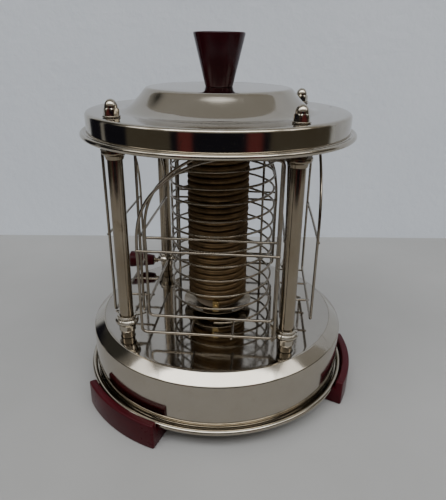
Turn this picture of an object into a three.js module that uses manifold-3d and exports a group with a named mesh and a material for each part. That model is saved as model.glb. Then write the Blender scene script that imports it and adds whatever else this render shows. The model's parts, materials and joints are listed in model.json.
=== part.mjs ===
// Upright four-rack toaster: a drum base on three feet, a bare heater column with a coiled
// guard wire, four post tubes that turn on tie rods, four wire bread racks, and a round lid.
// Millimetres, +Z up. The origin is on the table at the middle of the overall box; -Y is the front
// rack's side. The heater's axis stands at AXIS_X, AXIS_Y.
import * as THREE from 'three';
import { mergeVertices } from 'three/addons/utils/BufferGeometryUtils.js';
import Module from 'manifold-3d';

// ---------- driving dimensions ----------
const POST_HALF = 65.66;      // half the spacing of the four posts
const RACK_OPEN = 3.5;        // degrees that the racks stand open at rest
const Z_PLATE = 65.0;         // top of the reflector plate
const BAND_R = 113.7;         // base band
const SHOULDER_R = 104.3;     // inner edge of the sloping shoulder
const RIM_R = 117.0;          // centre of the base's rolled bead
const BEAD_R = 2.2;           // radius of both rolled beads
const RIM_Z = 17.9;
const FOOT_R = 126.5;         // outer face of the feet
const FOOT_H = 23.0;
const FOOT_ANGLES = [-123, -3, 117];
const FOOT_HALF_SPAN = 19;    // degrees
const LID_R = 105.0;          // lid band
const LID_BEAD_R = 107.8;     // centre of the lid's rolled bead
const LID_BEAD_Z = 227.5;
const LID_TOP = 243.9;
const DOME_FOOT_R = 77.0;
const DOME_TOP_R = 55.9;
const DOME_TOP = 260.9;
const KNOB_R0 = 10.9, KNOB_R1 = 20.1, KNOB_Z0 = 261.2, KNOB_Z1 = 300.3;
const POST_R = 5.7, POST_BORE = 4.0;
const ROD_R = 2.5;            // tie rods
const CORE_R = 20.5, COIL_R = 27.0;
const GUARD_R = 44.0, GUARD_WIRE = 0.9, GUARD_PITCH = 13.2;
const GUARD_X = 3.9, GUARD_Y = 0.6;
const WIRE_R = 1.15;          // rack wires
const SLOT_HALF = 12.4;       // rack frames stand this far each side of the post's centre
const RACK_U0 = 10, RACK_U1 = 113;
const RACK_Z0 = Z_PLATE + 18, RACK_ZM = Z_PLATE + 87, RACK_Z1 = Z_PLATE + 156.5;
const CROSS_U = [43, 75.5];
const GEAR_M = 2 * Math.hypot(POST_HALF, POST_HALF) / 72; // 60 + 12 teeth between centres
const GEAR_Z0 = 44, GEAR_Z1 = 48;
const INLET_Z = 39;

const AXIS_X = -3.587, AXIS_Y = -1.676;
const BIG = 44;               // facets round the large turned parts

const D = Math.PI / 180;
const wasm = await Module();
wasm.setup();

// ---------- materials ----------
const mat = (color, roughness, metalness) => new THREE.MeshStandardMaterial({ color, roughness, metalness });
const nickel = mat(0xb9b1a2, 0.16, 1.0);
const nickelWorn = mat(0x9c917c, 0.3, 1.0);
const wireMetal = mat(0x8b806d, 0.32, 1.0);
const bakelite = mat(0x4a0f17, 0.28, 0.0);
const knobBakelite = mat(0x2c0d11, 0.25, 0.0);
const coilMetal = mat(0x3a2a1a, 0.6, 0.7);
const ceramic = mat(0x8f7f68, 0.8, 0.0);
const brass = mat(0x9a7a45, 0.35, 1.0);
const steel = mat(0x77726a, 0.4, 1.0);
const insulatorMat = mat(0x201b19, 0.5, 0.0);

// ---------- geometry helpers ----------
function outward(g) {
  const p = g.attributes.position, idx = g.index ? g.index.array : null;
  const n = idx ? idx.length : p.count;
  const a = new THREE.Vector3(), b = new THREE.Vector3(), c = new THREE.Vector3();
  let v = 0;
  for (let i = 0; i < n; i += 3) {
    const at = (k) => (idx ? idx[i + k] : i + k);
    a.fromBufferAttribute(p, at(0)); b.fromBufferAttribute(p, at(1)); c.fromBufferAttribute(p, at(2));
    v += a.dot(b.cross(c));
  }
  if (v < 0) {
    if (idx) for (let i = 0; i < n; i += 3) { const t = idx[i + 1]; idx[i + 1] = idx[i + 2]; idx[i + 2] = t; }
    else {
      for (let i = 0; i < n; i += 3) {
        const x = [p.getX(i + 1), p.getY(i + 1), p.getZ(i + 1)];
        p.setXYZ(i + 1, p.getX(i + 2), p.getY(i + 2), p.getZ(i + 2));
        p.setXYZ(i + 2, ...x);
      }
    }
  }
  return g;
}
function bare(g) {
  const b = g.clone();
  for (const k of Object.keys(b.attributes)) if (k !== 'position') b.deleteAttribute(k);
  return outward(mergeVertices(b, 1e-4));
}
function toSolid(g) {
  const b = bare(g);
  // drop the zero-size triangles that a lathe leaves at its axis
  const src = b.index.array, keep = [];
  for (let i = 0; i < src.length; i += 3) {
    if (src[i] !== src[i + 1] && src[i + 1] !== src[i + 2] && src[i] !== src[i + 2]) keep.push(src[i], src[i + 1], src[i + 2]);
  }
  return new wasm.Manifold(new wasm.Mesh({
    numProp: 3, vertProperties: new Float32Array(b.attributes.position.array), triVerts: new Uint32Array(keep),
  }));
}
function toGeometry(m) {
  const q = m.getMesh();
  const g = new THREE.BufferGeometry();
  const pos = new Float32Array(q.numVert * 3);
  for (let i = 0; i < q.numVert; i++) for (let k = 0; k < 3; k++) pos[i * 3 + k] = q.vertProperties[i * q.numProp + k];
  g.setAttribute('position', new THREE.BufferAttribute(pos, 3));
  g.setIndex(new THREE.BufferAttribute(new Uint32Array(q.triVerts), 1));
  g.computeVertexNormals();
  return g;
}
const union = (...gs) => toGeometry(gs.slice(1).reduce((s, g) => s.add(toSolid(g)), toSolid(gs[0])));
const cut = (g, ...tools) => toGeometry(tools.reduce((s, t) => s.subtract(toSolid(t)), toSolid(g)));
const common = (g, h) => toGeometry(toSolid(g).intersect(toSolid(h)));

// profile is [radius, height] pairs; it starts and ends on the axis, or is closed by repeating its first point
function lathe(profile, segments = 32) {
  const closed = !(profile[0][0] === 0 && profile[profile.length - 1][0] === 0);
  const pts = profile.map(([r, z]) => new THREE.Vector2(r, z));
  if (closed) pts.push(pts[0].clone());
  const g = new THREE.LatheGeometry(pts, segments);
  g.rotateX(Math.PI / 2);
  return outward(g);
}
function prism(points, z0, z1, holes = []) {
  const s = new THREE.Shape(points.map(([x, y]) => new THREE.Vector2(x, y)));
  for (const h of holes) s.holes.push(new THREE.Path(h.map(([x, y]) => new THREE.Vector2(x, y))));
  const g = new THREE.ExtrudeGeometry(s, { depth: z1 - z0, bevelEnabled: false, steps: 1 });
  g.translate(0, 0, z0);
  return outward(g);
}
const ring = (r, n, cx = 0, cy = 0, turn = 0) => Array.from({ length: n }, (_, i) => {
  const t = turn + (i / n) * 2 * Math.PI;
  return [cx + r * Math.cos(t), cy + r * Math.sin(t)];
});
const rod = (r, z0, z1, n = 12, x = 0, y = 0) => prism(ring(r, n, x, y), z0, z1);

// a path through given points, one extrusion step per point
class PointPath extends THREE.Curve {
  constructor(points) { super(); this.points = points; }
  getPoint(t, out = new THREE.Vector3()) {
    const n = this.points.length - 1, f = Math.min(Math.max(t, 0), 1) * n, i = Math.min(Math.floor(f + 1e-9), n - 1);
    return out.copy(this.points[i]).lerp(this.points[i + 1], f - i);
  }
  getPointAt(u, out) { return this.getPoint(u, out); }
  getTangent(t, out = new THREE.Vector3()) {
    const n = this.points.length - 1, f = t * n, k = Math.round(f);
    const p = this.points, a = p[Math.max(k - 1, 0)], b = p[k], c = p[Math.min(k + 1, n)];
    const v = new THREE.Vector3();
    if (k > 0) v.add(b.clone().sub(a).normalize());
    if (k < n) v.add(c.clone().sub(b).normalize());
    return out.copy(v.normalize());
  }
  getTangentAt(u, out) { return this.getTangent(u, out); }
}
function wire(points, r, sides = 6) {
  const shape = new THREE.Shape(ring(r, sides, 0, 0, Math.PI / sides).map(([x, y]) => new THREE.Vector2(x, y)));
  const g = new THREE.ExtrudeGeometry(shape, { steps: points.length - 1, extrudePath: new PointPath(points), bevelEnabled: false });
  return outward(g);
}
// fillets the corners of a polyline in the u-z plane; corner = [u, z, radius, steps]
function rounded(corners) {
  const out = [];
  corners.forEach(([u, z, r = 0, n = 3], i) => {
    if (!r || i === 0 || i === corners.length - 1) { out.push([u, z]); return; }
    const p = new THREE.Vector2(u, z);
    const a = new THREE.Vector2(corners[i - 1][0], corners[i - 1][1]).sub(p).normalize();
    const b = new THREE.Vector2(corners[i + 1][0], corners[i + 1][1]).sub(p).normalize();
    const half = Math.acos(THREE.MathUtils.clamp(a.dot(b), -1, 1)) / 2, d = r / Math.tan(half);
    const s = p.clone().addScaledVector(a, d), e = p.clone().addScaledVector(b, d);
    for (let k = 0; k <= n; k++) {
      const t = k / n, q = s.clone().multiplyScalar((1 - t) ** 2).addScaledVector(p, 2 * t * (1 - t)).addScaledVector(e, t * t);
      out.push([q.x, q.y]);
    }
  });
  return out;
}

// ---------- assembly ----------
const toaster = new THREE.Group();
toaster.position.set(AXIS_X, AXIS_Y, 0);
function put(name, geometry, material, parent = toaster) {
  const m = new THREE.Mesh(geometry, material);
  m.name = name;
  parent.add(m);
  return m;
}
const posts = {
  front: { x: POST_HALF, y: -POST_HALF, turn: 180 },
  right: { x: POST_HALF, y: POST_HALF, turn: -90 },
  back: { x: -POST_HALF, y: POST_HALF, turn: 0 },
  left: { x: -POST_HALF, y: -POST_HALF, turn: 90 },
};
const corners = Object.values(posts);

// feet: curved blocks that hold the rim bead in a step
const footProfile = [[100, 0], [FOOT_R, 0], [FOOT_R, FOOT_H - 1.2], [FOOT_R - 1.2, FOOT_H], [RIM_R + BEAD_R + 1.6, FOOT_H],
  [RIM_R + BEAD_R + 0.6, FOOT_H - 1], [RIM_R + BEAD_R + 0.6, 15.3], [100, 15.3]];
const FOOT_NAMES = ['foot_left', 'foot_right', 'foot_back'];
FOOT_ANGLES.forEach((deg, i) => {
  const h = FOOT_HALF_SPAN * D;
  const wedge = prism([[0, 0], [180 * Math.cos(h), -180 * Math.sin(h)], [180, 0], [180 * Math.cos(h), 180 * Math.sin(h)]], -5, 40);
  const body = common(lathe(footProfile, 60), wedge);
  const foot = cut(body, rod(2.15, 4, 20, 8, 105.5, 0));
  put(FOOT_NAMES[i], foot, bakelite).rotation.z = deg * D;
  const screw = union(rod(1.75, 5, 17.8, 8), rod(3.6, 17.5, 19.6, 12));
  screw.translate(105.5, 0, 0);
  put(FOOT_NAMES[i].replace('foot', 'foot_screw'), screw, steel).rotation.z = deg * D;
});

// base pan with its rolled bead
const bead = (cr, cz, a0, a1, n) => Array.from({ length: n + 1 }, (_, i) => {
  const t = (a0 + ((a1 - a0) * i) / n) * D;
  return [cr + BEAD_R * Math.cos(t), cz + BEAD_R * Math.sin(t)];
});
const panProfile = [[0, 16.0], [114.4, 16.0], ...bead(RIM_R, RIM_Z, -120, 150, 5), [114.4, 17.2], [0, 17.2]];
const panHoles = corners.map((c) => rod(2.9, 10, 25, 8, c.x, c.y));
FOOT_ANGLES.forEach((deg) => panHoles.push(rod(2.1, 10, 25, 8, 105.5 * Math.cos(deg * D), 105.5 * Math.sin(deg * D))));
panHoles.push(rod(3.1, 10, 25, 12));
put('base_pan', cut(lathe(panProfile, BIG), ...panHoles), nickel);

// base shell: band, sloping shoulder, and the ledge that the reflector plate lies on
const shellProfile = [[BAND_R, 20.4], [BAND_R, 56.8], [BAND_R - 0.7, 58.3], [SHOULDER_R + 0.4, 64.8], [103.9, 65.0], [103.9, 63.4],
  [100.5, 63.4], [100.5, 62.4], [SHOULDER_R, 62.4], [BAND_R - 1.7, 57.6], [BAND_R - 1.2, 56.4], [BAND_R - 1.2, 21.4],
  [110.2, 21.4], [110.2, 17.6], [111.2, 17.6], [111.2, 20.4]];
const inletTool = new THREE.CylinderGeometry(12.4, 12.4, 20, 24);
inletTool.translate(0, 113, INLET_Z);
put('base_shell', cut(lathe(shellProfile, BIG), inletTool), nickel);

// reflector plate
const plate = cut(lathe([[0, 63.7], [103.5, 63.7], [103.5, 65.0], [0, 65.0]], BIG),
  ...corners.map((c) => rod(6.2, 60, 70, 10, c.x, c.y)), rod(3.1, 60, 70, 12));
put('reflector_plate', plate, nickel);

// centre tie rod, with a shoulder that carries the central gear
put('centre_rod', lathe([[0, 12.4], [5.2, 12.4], [5.2, 15.7], [2.75, 15.7], [2.75, 40], [6.5, 40], [6.5, 43.6], [2.75, 43.6],
  [2.75, 273], [0, 273]], 10), steel);

// heater column
put('heater_core', lathe([[3.1, 66.5], [12, 66.5], [12, 70.2], [CORE_R, 72.5], [CORE_R, 220], [3.1, 220]], 20), ceramic);
put('heater_coil', lathe([[CORE_R + 0.5, 78], [COIL_R, 78], [COIL_R, 216], [CORE_R + 0.5, 216]], 24), coilMetal);
put('heater_dish', lathe([[3.1, 65.3], [14, 65.3], [22, 67.0], [31, 71.6], [31, 72.4], [21.6, 67.9], [13.8, 66.2], [3.1, 66.2]], 22), nickelWorn);
const lug = prism([[-2.8, -30.2], [2.8, -30.2], [2.8, -27.4], [-2.8, -27.4]], 73.5, 84);
lug.translate(3, 0, 0);
put('heater_terminal', lug, brass);

// coiled guard wire and its two support rods
const guardPts = [];
const GUARD_TURNS = 11, GUARD_STEPS = 14;
for (let i = 0; i <= GUARD_TURNS * GUARD_STEPS; i++) {
  const t = (i / GUARD_STEPS) * 2 * Math.PI - Math.PI / 2;
  guardPts.push(new THREE.Vector3(GUARD_X + GUARD_R * Math.cos(t), GUARD_Y + GUARD_R * Math.sin(t), 70.3 + (GUARD_PITCH * i) / GUARD_STEPS));
}
put('guard_coil', wire(guardPts, GUARD_WIRE, 5), wireMetal);
for (const [n, deg] of [['guard_rod_left', 172], ['guard_rod_right', 36]]) {
  const r = GUARD_R * Math.cos(10 * D) - GUARD_WIRE - 0.3 - 1.1;
  put(n, rod(1.1, 65.3, 225.8, 8, GUARD_X + r * Math.cos(deg * D), GUARD_Y + r * Math.sin(deg * D)), wireMetal);
}

// lid, its closing plate and the dome
const lidProfile = [...bead(LID_BEAD_R, LID_BEAD_Z, 170, 440, 5), [LID_R, 230.6], [LID_R, 242.3],
  [LID_R - 1.6, LID_TOP], [73.5, LID_TOP], [73.5, LID_TOP - 1], [LID_R - 2.0, LID_TOP - 1], [LID_R - 1.1, 241.9], [LID_R - 1.1, 228.5]];
put('lid', cut(lathe(lidProfile, BIG), ...corners.map((c) => rod(2.9, 235, 250, 8, c.x, c.y))), nickel);
put('lid_closing_plate', cut(lathe([[0, 226.1], [103.4, 226.1], [103.4, 227.1], [0, 227.1]], BIG),
  ...corners.map((c) => rod(6.2, 220, 230, 10, c.x, c.y)), rod(3.1, 220, 230, 12)), nickelWorn);
put('lid_dome', lathe([[DOME_FOOT_R, 244.2], [DOME_FOOT_R, 245.1], [75.2, 245.7], [70.5, 248.2], [65, 252.6], [60, 257.6], [57.6, 260.0],
  [DOME_TOP_R - 1, DOME_TOP], [3.1, DOME_TOP], [3.1, DOME_TOP - 1], [DOME_TOP_R - 1.5, DOME_TOP - 1], [56.8, 259.2], [59.3, 256.7],
  [64.3, 251.7], [70, 247.3], [74.8, 244.8], [75, 244.2]], BIG), nickel);

// knob
put('top_knob', lathe([[0, 274], [3.1, 274], [3.1, KNOB_Z0], [KNOB_R0, KNOB_Z0], [KNOB_R1, KNOB_Z1 - 1], [KNOB_R1 - 0.9, KNOB_Z1],
  [0, KNOB_Z1]], 24), knobBakelite);

// tie rods and acorn nuts
for (const [side, c] of Object.entries(posts)) {
  const tie = lathe([[0, 12.4], [4.6, 12.4], [4.6, 15.7], [ROD_R, 15.7], [ROD_R, 25.5], [5.2, 25.5], [5.2, 28.9], [ROD_R, 28.9],
    [ROD_R, 251.5], [0, 251.5]], 10);
  put(`tie_rod_${side}`, tie, steel).position.set(c.x, c.y, 0);
  const nut = cut(union(lathe([[0, 244.2], [6.5, 244.2], [6.5, 245.3], [0, 245.3]], 12), prism(ring(5.8, 6), 245.2, 250.2),
    lathe([[0, 250.1], [4.5, 250.1], [4.5, 252.2], [3.8, 254.4], [2.3, 255.8], [0, 256.2]], 12)), rod(2.85, 240, 252.2, 8));
  put(`acorn_nut_${side}`, nut, nickel).position.set(c.x, c.y, 0);
}

// rear appliance inlet
const shroud = new THREE.LatheGeometry([[10.8, 101], [12.1, 101], [12.1, 126], [11.1, 126], [11.1, 108.2], [10.8, 108.2]].concat([[10.8, 101]])
  .map(([r, y]) => new THREE.Vector2(r, y)), 20);
shroud.translate(0, 0, INLET_Z);
put('inlet_shroud', outward(shroud), nickelWorn);
const block = new THREE.CylinderGeometry(10.4, 10.4, 6.5, 18);
block.translate(0, 104.6, INLET_Z);
const pinHole = (x) => { const g = new THREE.CylinderGeometry(2.65, 2.65, 20, 8); g.translate(x, 104.6, INLET_Z); return g; };
put('inlet_insulator', cut(block, pinHole(-5.6), pinHole(5.6)), insulatorMat);
for (const [n, x] of [['inlet_pin_left', -5.6], ['inlet_pin_right', 5.6]]) {
  const g = new THREE.CylinderGeometry(2.2, 2.2, 23, 8);
  g.translate(x, 111.5, INLET_Z);
  put(n, g, brass);
}

// gears: 60 teeth in the centre, 12 on each post
function gearOutline(teeth, phase = 0) {
  const rp = (GEAR_M * teeth) / 2, ra = rp + 0.8 * GEAR_M, rf = rp - 1.05 * GEAR_M, step = (2 * Math.PI) / teeth, pts = [];
  const half = (f) => f * step;
  for (let i = 0; i < teeth; i++) {
    const t = phase + i * step;
    pts.push([rf, t - half(0.31)], [ra, t - half(0.10)], [ra, t + half(0.10)], [rf, t + half(0.31)]);
  }
  return pts.map(([r, t]) => [r * Math.cos(t), r * Math.sin(t)]);
}
put('central_gear', prism(gearOutline(60, 0), GEAR_Z0, GEAR_Z1, [ring(3.1, 12)]), steel);

// racks, each in its post's own frame: u runs along the rack, v points away from the heater
const arch = [[113.5, 158], [112.6, 168], [109.6, 179.5], [103.5, 190.8], [94.6, 201], [83.5, 209.7], [69, 217],
  [54, 220.6], [40, 221.5]];
const loop = [...rounded([[RACK_U0, 130], [RACK_U0, RACK_Z0, 4, 2], [RACK_U1, RACK_Z0, 4, 2], [113.5, 150]]).slice(0, -1), [113.5, 150],
  ...arch.slice(1), ...rounded([[40, RACK_Z1], [RACK_U0, RACK_Z1, 4, 2], [RACK_U0, 128]]).slice(1)];
const V = (u, v, z) => new THREE.Vector3(u, v, z);
const frameAt = (v) => wire(loop.map(([u, z]) => V(u, v, z)), WIRE_R, 6);
const bar = (a, b, r = WIRE_R - 0.15) => wire([a, b], r, 6);
const midBar = (v) => bar(V(RACK_U0, v, RACK_ZM), V(113.5, v, RACK_ZM));
const outerFrame = union(frameAt(SLOT_HALF), midBar(SLOT_HALF),
  ...CROSS_U.map((u) => bar(V(u, SLOT_HALF, RACK_Z0), V(u, -SLOT_HALF + WIRE_R + 0.3, RACK_Z0))));
const innerFrame = union(frameAt(-SLOT_HALF), midBar(-SLOT_HALF));
const lowCollar = cut(union(
  lathe([[5.2, 71.5], [6.6, 71.5], [6.8, 72.2], [6.8, 77.2], [9.2, 79.0], [9.6, 79.9], [9.6, 81.5], [8.4, 82.8], [7.2, 83.2],
    [7.2, 83.7], [7.9, 84.3], [7.9, 85.2], [7.2, 85.8], [5.2, 85.8]], 14),
  prism([[-4, -6], [4, -8], [12, -13.6], [12, 13.6], [4, 8], [-4, 6]], 79.7, 81.4)), rod(6.1, 60, 90, 12));
const topCollar = cut(union(
  lathe([[5.2, 214.5], [6.5, 214.5], [6.8, 215.6], [9.3, 218.6], [9.6, 219.5], [9.6, 221.5], [5.2, 221.5]], 14),
  prism([[-4, -6], [3, -8], [8.4, -13.6], [8.4, 13.6], [3, 8], [-4, 6]], 217.6, 219.6)), rod(6.1, 200, 230, 12));
for (const [side, c] of Object.entries(posts)) {
  const g = new THREE.Group();
  g.position.set(c.x, c.y, 0);
  g.rotation.z = (c.turn + RACK_OPEN) * D;
  toaster.add(g);
  // the frame's +v side is turned away from the heater
  put(`post_tube_${side}`, lathe([[POST_BORE, 29.2], [POST_R, 29.2], [POST_R, 242.5], [POST_BORE, 242.5]], 14), nickelWorn, g);
  put(`bottom_collar_${side}`, lowCollar.clone(), nickel, g);
  put(`top_collar_${side}`, topCollar.clone(), nickelWorn, g);
  put(`outer_frame_${side}`, outerFrame.clone(), wireMetal, g);
  put(`inner_frame_${side}`, innerFrame.clone(), wireMetal, g);
  // the post's gear has a gap turned to the central gear's tooth
  const toCentre = Math.atan2(-c.y, -c.x) - g.rotation.z;
  const sunAngle = Math.atan2(c.y, c.x);
  const toothOff = ((sunAngle / (2 * Math.PI / 60)) % 1) * (2 * Math.PI / 60); // nearest central tooth, as an angle
  const phase = toCentre + (toothOff * 60) / 12 + Math.PI / 12;
  put(`post_gear_${side}`, prism(gearOutline(12, phase), GEAR_Z0, GEAR_Z1, [ring(6.1, 12)]), steel, g);
}

// side handle on the back rack's post
const handle = new THREE.Group();
handle.position.set(posts.back.x, posts.back.y, Z_PLATE + 10.8);
handle.rotation.set(0, 0, (posts.back.turn + RACK_OPEN + 180) * D);
toaster.add(handle);
const stem = lathe([[0, 7.1], [1.2, 7.1], [1.2, 9.9], [2.5, 9.9], [2.5, 13.6], [2.0, 13.6], [2.0, 24], [0, 24]], 12);
stem.rotateY(Math.PI / 2);
put('handle_stem', stem, nickelWorn, handle);
const grip = lathe([[2.3, 14.0], [5.3, 14.0], [8.7, 39], [8.0, 40], [0, 40], [0, 24.5], [2.3, 24.5]].slice(0, 4).concat([[0, 40], [0, 24.4], [2.3, 24.4]]), 18);
grip.rotateY(Math.PI / 2);
put('handle_grip', grip, bakelite, handle);

const assembly = new THREE.Group();
assembly.add(toaster);

export default assembly;
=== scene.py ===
import json
import math
import random
import bpy
import bmesh
from mathutils import Matrix, Vector, noise


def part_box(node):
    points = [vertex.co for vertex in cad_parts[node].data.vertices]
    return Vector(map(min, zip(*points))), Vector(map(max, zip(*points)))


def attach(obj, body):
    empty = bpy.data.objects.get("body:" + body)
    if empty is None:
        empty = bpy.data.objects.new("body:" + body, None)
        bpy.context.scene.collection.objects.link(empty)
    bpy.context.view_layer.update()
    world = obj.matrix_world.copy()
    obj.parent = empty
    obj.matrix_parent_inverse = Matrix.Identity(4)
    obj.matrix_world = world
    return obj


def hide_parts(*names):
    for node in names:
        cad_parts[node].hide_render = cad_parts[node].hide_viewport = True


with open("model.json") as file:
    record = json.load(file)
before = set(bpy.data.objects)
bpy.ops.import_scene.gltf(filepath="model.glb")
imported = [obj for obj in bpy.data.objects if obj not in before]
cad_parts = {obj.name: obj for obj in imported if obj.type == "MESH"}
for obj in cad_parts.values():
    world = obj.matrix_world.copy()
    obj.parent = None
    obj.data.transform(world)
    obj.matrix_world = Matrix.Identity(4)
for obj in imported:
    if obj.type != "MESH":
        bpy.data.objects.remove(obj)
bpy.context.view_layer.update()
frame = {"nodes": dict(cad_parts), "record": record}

MM = 0.001
scene = bpy.context.scene

# ------------------------------------------------------------------ where things are, from the frame
def mid(node):
    a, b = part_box(node)
    return (a + b) / 2
AXIS = mid("top_knob"); AX, AY = AXIS.x, AXIS.y
SIDES = {"front": 180, "right": -90, "back": 0, "left": 90}
OPEN = 3.5
POST = {s: mid("tie_rod_" + s) for s in SIDES}
Z_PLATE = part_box("reflector_plate")[1].z / MM

# ------------------------------------------------------------------ camera, at the photograph's angle
TURN = math.radians(8.76)
PITCH, ROLL, YAW, F_PX = 0.4023, 0.0120, 0.0117, 480.5
fwd = Vector((math.sin(YAW) * math.cos(PITCH), math.cos(YAW) * math.cos(PITCH), -math.sin(PITCH)))
right = Vector((math.cos(YAW), -math.sin(YAW), 0))
up = right.cross(fwd)
cam_x = right * math.cos(ROLL) + up * math.sin(ROLL)
cam_y = -right * math.sin(ROLL) + up * math.cos(ROLL)
place = Matrix((cam_x, cam_y, -fwd)).transposed().to_4x4()
place.translation = Vector((0, -0.4005, 0.2257 + 0.065))
cam_data = bpy.data.cameras.new("camera")
cam = bpy.data.objects.new("camera", cam_data)
scene.collection.objects.link(cam)
cam.matrix_world = Matrix.Translation((AX, AY, 0)) @ Matrix.Rotation(TURN, 4, "Z") @ place
cam_data.lens = 36.0 * F_PX / 500.0
cam_data.sensor_width = 36.0
cam_data.clip_start = 0.01
cam_data.clip_end = 50
scene.camera = cam

# ------------------------------------------------------------------ materials
def nodes_of(name):
    m = bpy.data.materials.new(name)
    m.use_nodes = True
    nt = m.node_tree
    nt.nodes.clear()
    out = nt.nodes.new("ShaderNodeOutputMaterial")
    bsdf = nt.nodes.new("ShaderNodeBsdfPrincipled")
    nt.links.new(bsdf.outputs[0], out.inputs[0])
    return m, nt, bsdf
def add(nt, kind, **kw):
    n = nt.nodes.new(kind)
    for k, v in kw.items():
        setattr(n, k, v)
    return n
def noise_node(nt, coord, scale, detail=4, rough=0.55, stretch=None, distortion=0.0):
    n = add(nt, "ShaderNodeTexNoise")
    n.inputs["Scale"].default_value = scale
    n.inputs["Detail"].default_value = detail
    n.inputs["Roughness"].default_value = rough
    n.inputs["Distortion"].default_value = distortion
    src = coord
    if stretch:
        mp = add(nt, "ShaderNodeMapping")
        mp.inputs["Scale"].default_value = stretch
        nt.links.new(coord, mp.inputs["Vector"])
        src = mp.outputs[0]
    nt.links.new(src, n.inputs["Vector"])
    return n.outputs["Fac"]
def remap(nt, src, a, b, c, d):
    n = add(nt, "ShaderNodeMapRange")
    n.inputs[1].default_value, n.inputs[2].default_value = a, b
    n.inputs[3].default_value, n.inputs[4].default_value = c, d
    nt.links.new(src, n.inputs[0])
    return n.outputs[0]
def mix(nt, fac, a, b, blend="MIX"):
    n = add(nt, "ShaderNodeMix", data_type="RGBA", blend_type=blend)
    if isinstance(fac, float):
        n.inputs[0].default_value = fac
    else:
        nt.links.new(fac, n.inputs[0])
    for sock, v in ((n.inputs[6], a), (n.inputs[7], b)):
        if isinstance(v, (tuple, list)):
            sock.default_value = (*v[:3], 1)
        else:
            nt.links.new(v, sock)
    return n.outputs[2]
def math_node(nt, op, a, b):
    n = add(nt, "ShaderNodeMath", operation=op)
    for sock, v in ((n.inputs[0], a), (n.inputs[1], b)):
        if isinstance(v, (int, float)):
            sock.default_value = v
        else:
            nt.links.new(v, sock)
    return n.outputs[0]
def wear_of(nt):
    n = add(nt, "ShaderNodeAttribute", attribute_name="wear")
    return n.outputs["Fac"]
def bumps(nt, bsdf, layers):
    prev = None
    for src, strength, dist in layers:
        b = add(nt, "ShaderNodeBump")
        b.inputs["Strength"].default_value = strength
        b.inputs["Distance"].default_value = dist
        nt.links.new(src, b.inputs["Height"])
        if prev:
            nt.links.new(prev, b.inputs["Normal"])
        prev = b.outputs[0]
    nt.links.new(prev, bsdf.inputs["Normal"])

def plated(name, bright, dull, under, rough=(0.06, 0.2), patch=0.5, lines=(1, 1, 30), line_bump=0.05, dent=0.12):
    m, nt, bsdf = nodes_of(name)
    tc = add(nt, "ShaderNodeTexCoord").outputs["Object"]
    big = noise_node(nt, tc, 14, 5, 0.6)
    fine = noise_node(nt, tc, 220, 3, 0.6)
    spots = noise_node(nt, tc, 75, 6, 0.75, distortion=0.6)
    tarnish = remap(nt, big, 0.42, 0.72, 0.0, patch)
    col = mix(nt, tarnish, bright, dull)
    speck = remap(nt, spots, 0.63, 0.74, 0.0, 0.65)
    col = mix(nt, speck, col, tuple(c * 0.45 for c in dull))
    edge = math_node(nt, "MULTIPLY", wear_of(nt), remap(nt, spots, 0.42, 0.66, 0.0, 0.7))
    col = mix(nt, edge, col, under)
    nt.links.new(col, bsdf.inputs["Base Color"])
    bsdf.inputs["Metallic"].default_value = 1.0
    r = remap(nt, big, 0.3, 0.75, rough[0], rough[1])
    r = math_node(nt, "ADD", r, remap(nt, fine, 0.4, 0.8, 0.0, 0.05))
    r = math_node(nt, "ADD", r, math_node(nt, "MULTIPLY", speck, 0.25))
    nt.links.new(r, bsdf.inputs["Roughness"])
    scratch = noise_node(nt, tc, 60, 4, 0.7, stretch=lines)
    bumps(nt, bsdf, [(noise_node(nt, tc, 9, 2, 0.5), dent, 0.0012), (scratch, line_bump, 0.0002), (fine, 0.03, 0.0001)])
    return m

def moulded(name, base, light, rough=(0.14, 0.3), coat=0.35, gloss=0.5):
    m, nt, bsdf = nodes_of(name)
    tc = add(nt, "ShaderNodeTexCoord").outputs["Object"]
    cloud = noise_node(nt, tc, 28, 6, 0.65, distortion=0.8)
    fine = noise_node(nt, tc, 300, 3, 0.6)
    flow = noise_node(nt, tc, 40, 3, 0.5, stretch=(1, 1, 5))
    col = mix(nt, remap(nt, cloud, 0.38, 0.68, 0.0, 0.75), base, light)
    col = mix(nt, remap(nt, flow, 0.5, 0.75, 0.0, 0.3), col, tuple(c * 0.5 for c in base))
    col = mix(nt, math_node(nt, "MULTIPLY", wear_of(nt), 0.10), col, tuple(min(1, c * 1.6 + 0.01) for c in light))
    nt.links.new(col, bsdf.inputs["Base Color"])
    r = remap(nt, noise_node(nt, tc, 18, 5, 0.7), 0.3, 0.7, rough[0], rough[1])
    r = math_node(nt, "ADD", r, remap(nt, fine, 0.45, 0.8, 0.0, 0.06))
    nt.links.new(r, bsdf.inputs["Roughness"])
    bsdf.inputs["IOR"].default_value = 1.5
    bsdf.inputs["Specular IOR Level"].default_value = gloss
    bsdf.inputs["Coat Weight"].default_value = coat
    bsdf.inputs["Coat Roughness"].default_value = 0.08
    bumps(nt, bsdf, [(noise_node(nt, tc, 22, 3, 0.5), 0.08, 0.0008), (fine, 0.03, 0.0001), (noise_node(nt, tc, 120, 2, 0.5, stretch=(1, 6, 1)), 0.03, 0.0001)])
    return m

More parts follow.
